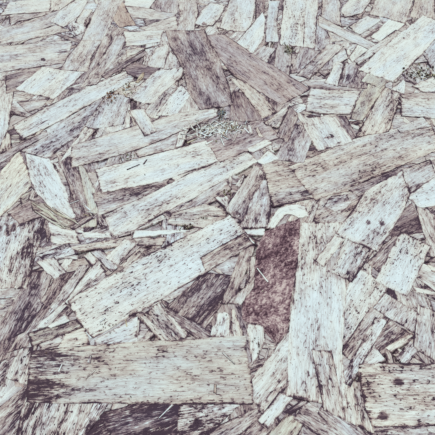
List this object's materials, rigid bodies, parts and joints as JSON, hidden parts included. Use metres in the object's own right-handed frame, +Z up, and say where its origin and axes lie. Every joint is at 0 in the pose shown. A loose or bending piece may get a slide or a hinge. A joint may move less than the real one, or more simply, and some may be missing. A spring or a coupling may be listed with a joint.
{
  "type": "oriented strand board panel",
  "caption": "Full flat sheet of weathered oriented strand board, pressed from overlapping wood strands, for sheathing and decking.",
  "frame": {"origin": "centre of the underside", "axes": "+X along the sheet's length, the way most face strands run; +Y across its width; +Z up through its thickness, out of the face that the picture shows"},
  "size_m": [2.44, 1.22, 0.018],
  "materials": {
    "strand_board": "weathered, matt"
  },
  "bodies": {
    "root": {"osb_panel": "strand_board"}
  },
  "joints": []
}
